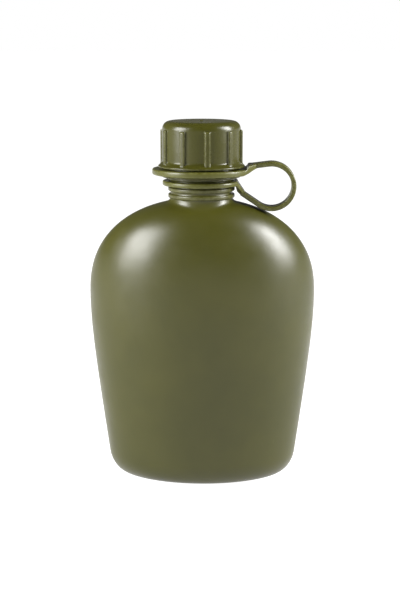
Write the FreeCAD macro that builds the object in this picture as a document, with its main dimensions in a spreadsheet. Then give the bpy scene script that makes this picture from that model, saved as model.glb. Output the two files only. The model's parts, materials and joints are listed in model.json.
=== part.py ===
import FreeCAD, Part

# One-quart belt canteen, moulded in plastic: a kidney-shaped bottle, a ribbed screw cap with a
# rubber seal, and a one-piece strap that ties the cap to the neck. The strap is cut at its four
# flex lines, so that it can fold.
#
# Units are millimetres. Z is up and the bottle stands on z = 0. The front, which bulges, faces
# -Y. Every sub-part is drawn about the neck axis and then placed at y = neck_axis_y, which puts
# the origin under the middle of the whole object. The strap leaves the neck towards +X.

import math
import os
import re

import Sketcher

SIZES = {
    # Bottle
    "neck_axis_y": -3.2,
    "body_half_width": 68.5,
    "body_half_depth": 32.0,
    "section_bend": 66.0,
    "widest_height": 113.9,
    "dome_height": 58.9,
    "dome_side_power": 2.18,
    "dome_front_power": 2.9,
    "section_power_gain": 0.4,
    "side_taper": 0.153,
    "front_taper": 0.127,
    "taper_blend": 32.8,
    "base_corner_width": 9.6,
    "base_corner_height": 13.4,
    "wall": 1.8,
    "recess_margin": 3.2,
    "recess_depth": 1.5,
    # Neck
    "neck_radius": 18.3,
    "mouth_radius": 15.9,
    "neck_foot": 150.0,
    "neck_fillet": 3.0,
    "rim_height": 213.2,
    "bead_radius": 19.7,
    "lower_bead_bottom": 173.2,
    "lower_bead_top": 175.6,
    "upper_bead_bottom": 177.3,
    "upper_bead_top": 179.5,
    "collar_radius": 19.9,
    "collar_bottom": 184.0,
    "collar_top": 185.2,
    "bead_edge": 0.5,
    "bead_foot": 0.3,
    "collar_edge": 0.4,
    "rim_edge": 0.6,
    "sleeve_foot": 1.5,
    # Screw thread, shared by the neck and the cap
    "thread_pitch": 6.0,
    "thread_start": 190.0,
    "thread_turns": 2.5,
    "thread_crest_radius": 20.0,
    "thread_root_width": 2.6,
    "thread_crest_width": 1.4,
    "thread_sink": 0.3,
    # Cap
    "cap_top": 218.2,
    "cap_radius": 23.1,
    "cap_bore": 20.4,
    "cap_ceiling": 215.2,
    "cap_top_round": 4.6,
    "skirt_bottom": 185.4,
    "lip_radius": 23.3,
    "lip_top": 186.4,
    "groove_radius": 22.0,
    "flange_radius": 25.6,
    "flange_bottom": 191.2,
    "flange_edge": 0.9,
    "flange_top": 194.3,
    "cap_thread_crest_radius": 18.9,
    "cap_thread_start": 187.0,
    "rib_count": 10,
    "rib_width": 3.2,
    "rib_radius": 24.5,
    "rib_bottom": 192.4,
    "rib_top": 213.2,
    "rib_angle": -80.2,
    "rib_round": 1.0,
    "gate_radius": 0.8,
    "gate_height": 0.4,
    # Seal
    "seal_radius": 19.8,
    "seal_hole": 13.0,
    # Strap
    "band_width": 11.0,
    "band_thickness": 2.8,
    "band_round": 0.7,
    "bend_x": 41.4,
    "bend_z": 180.0,
    "bend_radius": 13.2,
    "lower_slope": 34.0,
    "lower_length": 10.0,
    "upper_slope": 7.0,
    "upper_length": 9.5,
    "lower_flex_angle": -80.0,
    "upper_flex_angle": 60.0,
    "flex_gap": 0.3,
    "flex_half_angle": 0.6,
    "neck_loop_radius": 23.0,
    "neck_loop_hole": 18.9,
    "neck_loop_bottom": 180.5,
    "neck_loop_top": 183.3,
    "cap_loop_radius": 29.1,
    "cap_loop_hole": 22.6,
    "cap_loop_bottom": 187.0,
    "cap_loop_top": 190.4,
    "loop_round": 0.8,
    "lug_inset": 0.8,
    "lug_back": 1.9,
    "lug_relief": 0.4,
    "lug_step": 0.2,
    "lug_drop": 3.3,
    "lug_skin": 0.3,
    "lug_shoulder": 1.8,
    "lug_shoulder_drop": 2.4,
    "teardrop_angle": 37.0,
    "tab_inset": 1.9,
    "tab_skin": 0.1,
    "tab_under_start": 2.6,
    "tab_under_rise": 2.7,
    "tab_step_start": 2.5,
    "tab_step_end": 1.3,
    "tab_step_rise": 2.2,
    "tab_end_rise": 3.0,
    "trim_reach": 12.0,
    "trim_width": 30.0,
    # How deep one form is sunk into the next, so that the two join
    "overlap": 1.0,
}

# How close to a line or a face an edge has to run to count as lying on it
NEAR = 0.05

# The share of the dome's height that is drawn; the rest is hidden inside the foot of the neck
DRAWN_DOME = 0.985

SUB_PARTS = [
    "bottle", "cap", "cap_seal", "neck_loop",
    "strap_lower_arm", "strap_bend", "strap_upper_arm", "cap_loop",
]

doc = FreeCAD.newDocument("Canteen")
sheet = doc.addObject("Spreadsheet::Sheet", "Sizes")
for row, (alias, number) in enumerate(SIZES.items(), start=1):
    sheet.set("A%d" % row, alias)
    sheet.set("B%d" % row, str(number))
    sheet.setAlias("B%d" % row, alias)
doc.recompute()


def size(alias):
    """The number in the sheet's cell of that name."""
    return float(sheet.get(alias))


def bound(formula):
    """A formula in the sheet's names, written the way an expression reads the sheet."""
    return re.sub(r"[a-z]+(?:_[a-z]+)*", lambda word: with_sheet(word.group(0)), formula)


def with_sheet(word):
    return "Sizes." + word if word in SIZES else word


def bind(item, prop, formula):
    item.setExpression(prop, bound(formula))


def put_on_neck_axis(item):
    item.Placement = FreeCAD.Placement()
    bind(item, "Placement.Base.y", "neck_axis_y")


# ---------------------------------------------------------------------------------------------
# Shared drawing helpers
# ---------------------------------------------------------------------------------------------

def new_body(name):
    body = doc.addObject("PartDesign::Body", name)
    body.Label = name
    return body


def origin_feature(body, role):
    for feature in body.Origin.OriginFeatures:
        if feature.Role == role:
            return feature
    raise ValueError(role)


def new_sketch(body, name, plane):
    sketch = body.newObject("Sketcher::SketchObject", name)
    sketch.AttachmentSupport = [(origin_feature(body, plane), "")]
    sketch.MapMode = "FlatFace"
    return sketch


def fix_point(sketch, edge, end, formulas, name):
    """Hold one end of an edge at a place given by two formulas in the sheet's names."""
    for kind, axis, formula in zip(("DistanceX", "DistanceY"), ("across", "up"), formulas):
        here = float(sketch.evalExpression(bound(formula)))
        number = sketch.addConstraint(Sketcher.Constraint(kind, -1, 1, edge, end, here))
        label = "%s_%s" % (name, axis)
        sketch.renameConstraint(number, label)
        sketch.setExpression("Constraints." + label, bound(formula))


def polygon_sketch(body, name, plane, corners):
    """A closed outline of straight lines, each corner held by formulas in the sheet's names."""
    sketch = new_sketch(body, name, plane)
    places = [[float(sketch.evalExpression(bound(f))) for f in corner] for corner in corners]
    points = [FreeCAD.Vector(across, up, 0) for across, up in places]
    for start, end in zip(points, points[1:] + points[:1]):
        sketch.addGeometry(Part.LineSegment(start, end), False)
    for edge in range(len(points)):
        after = (edge + 1) % len(points)
        sketch.addConstraint(Sketcher.Constraint("Coincident", edge, 2, after, 1))
    for edge, corner in enumerate(corners):
        fix_point(sketch, edge, 1, corner, "corner_%d" % edge)
    return sketch


def revolve(body, sketch, name):
    """Turn an outline drawn on the XZ plane once about the body's own Z axis."""
    turned = body.newObject("PartDesign::Revolution", name)
    turned.Profile = sketch
    turned.ReferenceAxis = (origin_feature(body, "Z_Axis"), [""])
    turned.Angle = 360
    body.Tip = turned
    return turned


def pad_both_ways(body, sketch, name, width):
    pad = body.newObject("PartDesign::Pad", name)
    pad.Profile = sketch
    pad.SideType = "Symmetric"
    bind(pad, "Length", width)
    body.Tip = pad
    return pad


def edges_where(shape, wanted, shortest):
    """Names of the shape's edges that are long enough and pass the test at three points."""
    names = []
    for number, edge in enumerate(shape.Edges, start=1):
        places = [edge.valueAt(t) for t in
                  (edge.FirstParameter, 0.5 * (edge.FirstParameter + edge.LastParameter),
                   edge.LastParameter)]
        if edge.Length > shortest and all(wanted(place) for place in places):
            names.append("Edge%d" % number)
    return names


def fillet(body, base, name, wanted, radius, shortest=0.0):
    doc.recompute()
    rounding = body.newObject("PartDesign::Fillet", name)
    rounding.Base = (base, edges_where(base.Shape, wanted, shortest))
    bind(rounding, "Radius", radius)
    body.Tip = rounding
    return rounding


def helix_ridge(body, name, start, turns, root_radius, crest_radius):
    """A screw ridge from root_radius to crest_radius, sunk a little into the wall behind it."""
    middle = "(%s)" % start
    corners = [
        (root_radius, middle + " - thread_root_width / 2"),
        (crest_radius, middle + " - thread_crest_width / 2"),
        (crest_radius, middle + " + thread_crest_width / 2"),
        (root_radius, middle + " + thread_root_width / 2"),
    ]
    sketch = polygon_sketch(body, name + "_outline", "XZ_Plane", corners)
    ridge = body.newObject("PartDesign::AdditiveHelix", name)
    ridge.Profile = sketch
    ridge.ReferenceAxis = (origin_feature(body, "Z_Axis"), [""])
    ridge.Mode = "pitch-turns-angle"
    bind(ridge, "Pitch", "thread_pitch")
    bind(ridge, "Turns", turns)
    body.Tip = ridge
    return ridge


# ---------------------------------------------------------------------------------------------
# Bottle
# ---------------------------------------------------------------------------------------------

def half_width(height):
    """Half the bottle's width at a height, before the base corner is rounded."""
    widest = size("body_half_width")
    if height >= size("widest_height"):
        return widest * dome(height, size("dome_side_power"))
    return widest - tapered(height, size("side_taper"))


def half_depth(height):
    """Half the bottle's thickness through the neck axis at a height, likewise."""
    deepest = size("body_half_depth")
    if height >= size("widest_height"):
        return deepest * dome(height, size("dome_front_power"))
    return deepest - tapered(height, size("front_taper"))


def dome(height, power):
    rise = min((height - size("widest_height")) / size("dome_height"), 1.0)
    return (1 - rise ** power) ** (1 / power)


def tapered(height, slope):
    drop = size("widest_height") - height
    blend = size("taper_blend")
    return slope * (math.hypot(drop, blend) - blend)


def corner_inset(height):
    """How much the rounded base corner takes off every side near the bottom."""
    left = max(0.0, 1 - height / size("base_corner_height"))
    return size("base_corner_width") * (1 - math.sqrt(1 - left ** 2))


def outer_extent(height):
    """Half width and half thickness of the outer skin."""
    inset = corner_inset(height)
    return half_width(height) - inset, half_depth(height) - inset


def inner_extent(height):
    """The same for the inner skin, one wall thickness inside the outer one everywhere."""
    wall = size("wall")
    steps = [wall * math.sin(math.radians(angle)) for angle in range(-90, 91, 10)]
    widths = []
    depths = []
    for step in steps:
        level = height + step
        reach = math.sqrt(max(wall ** 2 - step ** 2, 0.0))
        width, depth = outer_extent(min(level, top_section_height()))
        widths.append(width - reach)
        depths.append(depth - reach)
    return min(widths), min(depths)


def top_section_height():
    """The dome's last section, which is hidden inside the foot of the neck."""
    return size("widest_height") + DRAWN_DOME * size("dome_height")


def oval_point(turn, power):
    """A point of a unit oval, between an ellipse (power 2) and a rounded box, at part of a turn."""
    angle = 2 * math.pi * turn
    across = math.copysign(abs(math.cos(angle)) ** (2 / power), math.cos(angle))
    back = math.copysign(abs(math.sin(angle)) ** (2 / power), math.sin(angle))
    return across, back


def bent_point(point, spread, depth):
    """That point bent round an upright axis behind the bottle, which gives the kidney shape."""
    across, back = point
    bend = size("section_bend")
    reach = bend - depth * back
    return reach * math.sin(spread * across), bend - reach * math.cos(spread * across)


def spread_for(width, depth, power):
    """The bend's half angle, in radians, that makes the section as wide as it has to be."""
    ovals = [oval_point(number / 360, power) for number in range(360)]
    low, high = 0.0, math.pi / 2
    while high - low > 1e-7:
        middle = (low + high) / 2
        if max(bent_point(point, middle, depth)[0] for point in ovals) < width:
            low = middle
        else:
            high = middle
    return low


def kidney_wire(height, extent, point_count=36):
    """One closed section of the bottle."""
    width, depth = extent
    neck = size("neck_radius")
    fullness = min(max((width - neck) / (size("body_half_width") - neck), 0.0), 1.0)
    power = 2 + size("section_power_gain") * fullness
    spread = spread_for(width, depth, power)
    points = []
    for number in range(point_count):
        x, y = bent_point(oval_point(number / point_count, power), spread, depth)
        points.append(FreeCAD.Vector(x, y, height))
    curve = Part.BSplineCurve()
    curve.interpolate(Points=points, PeriodicFlag=True)
    return Part.Wire([curve.toShape()])


def section_heights(bottom, top):
    """Heights of the sections, close together where the outline turns quickly."""
    corner_top = bottom + size("base_corner_height")
    widest = size("widest_height")
    corner = [bottom + (corner_top - bottom) * (1 - math.cos(math.radians(angle)))
              for angle in (0, 18, 36, 54, 72, 90)]
    side = [corner_top + (widest - corner_top) * part for part in (0.2, 0.4, 0.6, 0.8, 0.92, 1.0)]
    turn = math.degrees(math.asin((top - widest) / size("dome_height")))
    shoulder = [widest + size("dome_height") * math.sin(math.radians(turn * step / 10))
                for step in range(1, 11)]
    return corner + side + shoulder


def kidney_solid(name, extent_at, bottom, top):
    sections = [kidney_wire(height, extent_at(height)) for height in section_heights(bottom, top)]
    form = doc.addObject("Part::Feature", name)
    form.Shape = Part.makeLoft(sections, True, False)
    return form


def base_recess():
    """The shallow hollow under the base, which leaves a kidney-shaped rim to stand on.

    Each step is a height and how many margins in from the bottle's side the hollow's edge runs.
    """
    margin = size("recess_margin")
    deep = size("recess_depth")
    width, depth = outer_extent(0)
    steps = ((-1.0, 1.0), (0.0, 1.0), (0.6 * deep, 1.25), (deep, 2.0))
    sections = [kidney_wire(height, (width - margin * part, depth - margin * part))
                for height, part in steps]
    form = doc.addObject("Part::Feature", "base_recess")
    form.Shape = Part.makeLoft(sections, True, False)
    return form


def neck_tube():
    neck = doc.addObject("Part::Cylinder", "neck_tube")
    bind(neck, "Radius", "neck_radius")
    bind(neck, "Height", "rim_height - neck_foot")
    bind(neck, "Placement.Base.z", "neck_foot")
    return neck


def neck_bore():
    bore = doc.addObject("Part::Cylinder", "neck_bore")
    bind(bore, "Radius", "mouth_radius")
    bind(bore, "Height", "rim_height - neck_foot + overlap")
    bind(bore, "Placement.Base.z", "neck_foot")
    return bore


def neck_details():
    """A sleeve over the neck that carries the beads, the collar and the screw thread."""
    body = new_body("neck_details")
    inside = "mouth_radius + overlap"
    corners = [
        (inside, "lower_bead_bottom - sleeve_foot"),
        ("neck_radius", "lower_bead_bottom - sleeve_foot"),
        ("neck_radius", "lower_bead_bottom - bead_foot"),
        ("bead_radius", "lower_bead_bottom + bead_edge"),
        ("bead_radius", "lower_bead_top - bead_edge"),
        ("neck_radius", "lower_bead_top + bead_foot"),
        ("neck_radius", "upper_bead_bottom - bead_foot"),
        ("bead_radius", "upper_bead_bottom + bead_edge"),
        ("bead_radius", "upper_bead_top - bead_edge"),
        ("neck_radius", "upper_bead_top + bead_foot"),
        ("neck_radius", "collar_bottom"),
        ("collar_radius", "collar_bottom + collar_edge"),
        ("collar_radius", "collar_top - collar_edge"),
        ("neck_radius", "collar_top"),
        ("neck_radius", "rim_height - rim_edge"),
        ("neck_radius - rim_edge", "rim_height"),
        (inside, "rim_height"),
    ]
    sketch = polygon_sketch(body, "neck_details_outline", "XZ_Plane", corners)
    revolve(body, sketch, "neck_details_turned")
    helix_ridge(body, "neck_thread", "thread_start", "thread_turns",
                "neck_radius - thread_sink", "thread_crest_radius")
    return body


def boolean(kind, name, first, second):
    item = doc.addObject(kind, name)
    item.Base = first
    item.Tool = second
    return item


def make_bottle():
    top = top_section_height()
    wall = size("wall")
    outer = kidney_solid("bottle_outer_form", outer_extent, 0.0, top)
    floor = wall + size("recess_depth")
    inner = kidney_solid("bottle_inner_form", inner_extent, floor, top - wall)
    shouldered = boolean("Part::Fuse", "shouldered_form", outer, neck_tube())
    doc.recompute()
    blended = doc.addObject("Part::Fillet", "blended_form")
    blended.Base = shouldered
    neck = size("neck_radius") + NEAR
    low, high = size("neck_foot"), size("lower_bead_bottom")
    names = edges_where(shouldered.Shape, lambda place: math.hypot(place.x, place.y) < neck
                        and low < place.z < high, shortest=0.0)
    radius = size("neck_fillet")
    blended.Edges = [(int(name[4:]), radius, radius) for name in names]
    detailed = boolean("Part::Fuse", "detailed_form", blended, neck_details())
    hollow = boolean("Part::Fuse", "bottle_hollow", inner, neck_bore())
    emptied = boolean("Part::Cut", "emptied_form", detailed, hollow)
    bottle = boolean("Part::Cut", "bottle", emptied, base_recess())
    bottle.Label = "bottle"
    put_on_neck_axis(bottle)
    return bottle


# ---------------------------------------------------------------------------------------------
# Cap and seal
# ---------------------------------------------------------------------------------------------

def make_cap():
    body = new_body("cap")
    corners = [
        ("0", "cap_top"),
        ("cap_radius", "cap_top"),
        ("cap_radius", "flange_top"),
        ("flange_radius", "flange_bottom + flange_edge"),
        ("flange_radius", "flange_bottom"),
        ("groove_radius", "flange_bottom"),
        ("groove_radius", "lip_top"),
        ("lip_radius", "lip_top"),
        ("lip_radius", "skirt_bottom"),
        ("cap_bore", "skirt_bottom"),
        ("cap_bore", "cap_ceiling"),
        ("0", "cap_ceiling"),
    ]
    sketch = polygon_sketch(body, "cap_outline", "XZ_Plane", corners)
    shell = revolve(body, sketch, "cap_shell")
    shell = fillet(body, shell, "cap_top_rounding",
                   lambda place: abs(place.z - size("cap_top")) < NEAR, "cap_top_round")
    rib = polygon_sketch(body, "cap_rib_outline", "XY_Plane", [
        ("cap_radius - overlap", "-rib_width / 2"),
        ("rib_radius", "-rib_width / 2"),
        ("rib_radius", "rib_width / 2"),
        ("cap_radius - overlap", "rib_width / 2"),
    ])
    rib.AttachmentOffset = FreeCAD.Placement()
    bind(rib, "AttachmentOffset.Base.z", "rib_bottom")
    bind(rib, "AttachmentOffset.Rotation.Angle", "rib_angle")
    pad = body.newObject("PartDesign::Pad", "cap_rib")
    pad.Profile = rib
    bind(pad, "Length", "rib_top - rib_bottom")
    body.Tip = pad
    ribs = body.newObject("PartDesign::PolarPattern", "cap_ribs")
    ribs.Originals = [pad]
    ribs.Axis = (origin_feature(body, "Z_Axis"), [""])
    ribs.Angle = 360
    bind(ribs, "Occurrences", "rib_count")
    body.Tip = ribs
    outside = size("rib_radius") - NEAR
    clear_of_flange = size("rib_bottom") + NEAR
    fillet(body, ribs, "cap_rib_rounding",
           lambda place: math.hypot(place.x, place.y) > outside and place.z > clear_of_flange,
           "rib_round")
    helix_ridge(body, "cap_thread", "cap_thread_start", "thread_turns",
                "cap_bore + thread_sink", "cap_thread_crest_radius")
    gate = new_sketch(body, "cap_gate_outline", "XY_Plane")
    gate.addGeometry(Part.Circle(FreeCAD.Vector(0, 0, 0), FreeCAD.Vector(0, 0, 1),
                                 size("gate_radius")), False)
    gate.addConstraint(Sketcher.Constraint("Coincident", 0, 3, -1, 1))
    radius = gate.addConstraint(Sketcher.Constraint("Radius", 0, size("gate_radius")))
    gate.renameConstraint(radius, "gate_size")
    gate.setExpression("Constraints.gate_size", bound("gate_radius"))
    bind(gate, "AttachmentOffset.Base.z", "cap_top - overlap")
    nub = body.newObject("PartDesign::Pad", "cap_gate")
    nub.Profile = gate
    bind(nub, "Length", "gate_height + overlap")
    body.Tip = nub
    put_on_neck_axis(body)
    return body


def make_seal():
    body = new_body("cap_seal")
    sketch = polygon_sketch(body, "seal_outline", "XZ_Plane", [
        ("seal_hole", "rim_height"),
        ("seal_radius", "rim_height"),
        ("seal_radius", "cap_ceiling"),
        ("seal_hole", "cap_ceiling"),
    ])
    revolve(body, sketch, "seal_ring")
    put_on_neck_axis(body)
    return body


# ---------------------------------------------------------------------------------------------
# Strap
# ---------------------------------------------------------------------------------------------

def make_ring(body, name, hole, radius, bottom, top):
    sketch = polygon_sketch(body, name + "_outline", "XZ_Plane", [
        (hole, bottom), (radius, bottom), (radius, top), (hole, top),
    ])
    ring = revolve(body, sketch, name)
    outside = size(radius) - NEAR
    return fillet(body, ring, name + "_rounding",
                  lambda place: math.hypot(place.x, place.y) > outside, "loop_round")


def lower_line(along, across):
    """Formulas for a point of the lower arm, measured up from the bend and inwards."""
    start_x = "bend_x - bend_radius * sin(lower_slope)"
    start_z = "bend_z - bend_radius * cos(lower_slope)"
    return ("%s - (%s) * cos(lower_slope) + (%s) * sin(lower_slope)" % (start_x, along, across),
            "%s + (%s) * sin(lower_slope) + (%s) * cos(lower_slope)" % (start_z, along, across))


def upper_line(along, across):
    """The same for the upper arm."""
    start_x = "bend_x - bend_radius * sin(upper_slope)"
    start_z = "bend_z + bend_radius * cos(upper_slope)"
    return ("%s - (%s) * cos(upper_slope) + (%s) * sin(upper_slope)" % (start_x, along, across),
            "%s - (%s) * sin(upper_slope) - (%s) * cos(upper_slope)" % (start_z, along, across))


OUTER_SKIN = "bend_radius + band_thickness / 2"
INNER_SKIN = "bend_radius - band_thickness / 2"


def on_bend(radius, angle):
    """Formulas for the point of the bend at a radius and an angle, measured from +X upwards."""
    return ("bend_x + (%s) * cos(%s)" % (radius, angle), "bend_z + (%s) * sin(%s)" % (radius, angle))


def add_bend_arc(sketch, radius, from_angle, to_angle, name):
    """An arc about the bend's centre; its end is held by its reach along X alone."""
    reach, start, end = [float(sketch.evalExpression(bound(formula)))
                         for formula in (radius, from_angle, to_angle)]
    centre = FreeCAD.Vector(size("bend_x"), size("bend_z"), 0)
    circle = Part.Circle(centre, FreeCAD.Vector(0, 0, 1), reach)
    arc = sketch.addGeometry(Part.ArcOfCircle(circle, math.radians(start), math.radians(end)), False)
    fix_point(sketch, arc, 3, ("bend_x", "bend_z"), name + "_centre")
    fix_point(sketch, arc, 1, on_bend(radius, from_angle), name + "_start")
    fix_point(sketch, arc, 2, on_bend(radius, to_angle)[:1], name + "_end")
    return arc


def join_arcs(sketch, inner, outer, end, corners, name):
    """Close one end of the band with straight lines that run through any further corners."""
    places = [[float(sketch.evalExpression(bound(f))) for f in corner] for corner in corners]
    points = [sketch.getPoint(inner, end)]
    points += [FreeCAD.Vector(across, up, 0) for across, up in places]
    points.append(sketch.getPoint(outer, end))
    before, place_of_before = inner, end
    for number, (start, finish) in enumerate(zip(points, points[1:])):
        line = sketch.addGeometry(Part.LineSegment(start, finish), False)
        sketch.addConstraint(Sketcher.Constraint("Coincident", before, place_of_before, line, 1))
        if number < len(corners):
            fix_point(sketch, line, 2, corners[number], "%s_%d" % (name, number))
        before, place_of_before = line, 2
    sketch.addConstraint(Sketcher.Constraint("Coincident", before, place_of_before, outer, end))


def band(name, from_angle, to_angle, start_corners, end_corners):
    """A piece of the moulded band, drawn in the XZ plane and as wide as the band along Y."""
    body = new_body(name)
    sketch = new_sketch(body, name + "_outline", "XZ_Plane")
    outer = add_bend_arc(sketch, OUTER_SKIN, from_angle, to_angle, "outer")
    inner = add_bend_arc(sketch, INNER_SKIN, from_angle, to_angle, "inner")
    join_arcs(sketch, inner, outer, 1, start_corners, "start")
    join_arcs(sketch, inner, outer, 2, end_corners, "end")
    pad = pad_both_ways(body, sketch, name + "_band", "band_width")
    side = size("band_width") / 2 - NEAR
    fillet(body, pad, name + "_rounding", lambda place: abs(place.y) > side, "band_round",
           shortest=2 * size("band_thickness"))
    put_on_neck_axis(body)
    return body


def make_strap_lower_arm():
    corners = [
        lower_line("lower_length - flex_gap / 2", "band_thickness / 2"),
        lower_line("lower_length - flex_gap / 2", "-band_thickness / 2"),
    ]
    return band("strap_lower_arm", "lower_slope * -1 - 90", "lower_flex_angle - flex_half_angle",
                corners, [])


def make_strap_bend():
    return band("strap_bend", "lower_flex_angle + flex_half_angle",
                "upper_flex_angle - flex_half_angle", [], [])


def make_strap_upper_arm():
    corners = [
        upper_line("upper_length - flex_gap / 2", "band_thickness / 2"),
        upper_line("upper_length - flex_gap / 2", "-band_thickness / 2"),
    ]
    return band("strap_upper_arm", "upper_flex_angle + flex_half_angle", "upper_slope + 90",
                [], corners)


def make_neck_loop():
    """The ring that turns on the neck, with the lug that leads down into the band."""
    body = new_body("neck_loop")
    make_ring(body, "neck_ring", "neck_loop_hole", "neck_loop_radius",
              "neck_loop_bottom", "neck_loop_top")
    lug = polygon_sketch(body, "neck_lug_outline", "XZ_Plane", [
        ("neck_loop_hole + lug_inset", "neck_loop_bottom + lug_relief"),
        ("neck_loop_hole + lug_back", "neck_loop_bottom - lug_step"),
        ("neck_loop_hole + lug_back", "neck_loop_bottom - lug_drop"),
        lower_line("lower_length + flex_gap / 2", "-band_thickness / 2"),
        lower_line("lower_length + flex_gap / 2", "band_thickness / 2"),
        ("neck_loop_radius - lug_relief", "neck_loop_top - lug_shoulder_drop"),
        ("neck_loop_radius - lug_shoulder", "neck_loop_top - lug_skin"),
        ("neck_loop_hole + lug_inset", "neck_loop_top - lug_skin"),
    ])
    pad_both_ways(body, lug, "neck_lug", "band_width")
    put_on_neck_axis(body)
    return body


def make_cap_loop():
    """The ring that sits in the cap's groove, drawn out to a ramped teardrop tab."""
    body = new_body("cap_loop")
    make_ring(body, "cap_ring", "cap_loop_hole", "cap_loop_radius",
              "cap_loop_bottom", "cap_loop_top")
    end_x = upper_line("upper_length + flex_gap / 2", "-band_thickness / 2")[0]
    ramp = polygon_sketch(body, "tab_outline", "XZ_Plane", [
        ("cap_loop_hole + tab_inset", "cap_loop_bottom + tab_skin"),
        ("cap_loop_radius - tab_under_start", "cap_loop_bottom + tab_skin"),
        (end_x, "cap_loop_bottom + tab_under_rise"),
        (end_x, "cap_loop_top + tab_end_rise"),
        ("cap_loop_radius - tab_step_end", "cap_loop_top + tab_step_rise"),
        ("cap_loop_radius - tab_step_start", "cap_loop_top - tab_skin"),
        ("cap_loop_hole + tab_inset", "cap_loop_top - tab_skin"),
    ])
    pad_both_ways(body, ramp, "tab", "2 * cap_loop_radius * sin(teardrop_angle)")
    for side in (1, -1):
        trim_beside_tangent(body, side)
    put_on_neck_axis(body)
    return body


def trim_beside_tangent(body, side):
    """Cut the tab back to the straight line that leaves the ring as a tangent."""
    touch = ("cap_loop_radius * cos(teardrop_angle)",
             "%d * cap_loop_radius * sin(teardrop_angle)" % side)
    end = ("cap_loop_radius * cos(teardrop_angle) + trim_reach * sin(teardrop_angle)",
           "%d * (cap_loop_radius * sin(teardrop_angle) - trim_reach * cos(teardrop_angle))" % side)
    beyond = end[0] + " + trim_reach"
    aside = "%d * trim_width" % side
    name = "tab_trim_left" if side > 0 else "tab_trim_right"
    sketch = polygon_sketch(body, name + "_outline", "XY_Plane", [
        touch, end, (beyond, end[1]), (beyond, aside), (touch[0], aside),
    ])
    trim = body.newObject("PartDesign::Pocket", name)
    trim.Profile = sketch
    trim.SideType = "Symmetric"
    bind(trim, "Length", "2 * cap_top")
    body.Tip = trim


# ---------------------------------------------------------------------------------------------
# Build, check and write
# ---------------------------------------------------------------------------------------------

make_bottle()
make_cap()
make_seal()
make_neck_loop()
make_strap_lower_arm()
make_strap_bend()
make_strap_upper_arm()
make_cap_loop()
doc.recompute()

for item in doc.Objects:
    if "Invalid" in item.State or "Error" in item.State:
        raise RuntimeError("%s did not build: %s" % (item.Name, item.State))

os.makedirs("parts", exist_ok=True)
for label in SUB_PARTS:
    shape = doc.getObjectsByLabel(label)[0].Shape
    if shape.isNull() or not shape.isValid() or len(shape.Solids) != 1:
        raise RuntimeError("%s is not one valid solid" % label)
    shape.exportStep("parts/%s.step" % label)
    box = shape.BoundBox
    print("%-16s %9.0f mm3  x %7.2f %7.2f  y %7.2f %7.2f  z %7.2f %7.2f"
          % (label, shape.Volume, box.XMin, box.XMax, box.YMin, box.YMax, box.ZMin, box.ZMax))
capacity = doc.getObject("bottle_hollow").Shape.Volume / 1000
print("the bottle holds about %.0f ml" % capacity)
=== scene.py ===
import json
import math

import bmesh
import bpy
from mathutils import Vector

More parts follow.
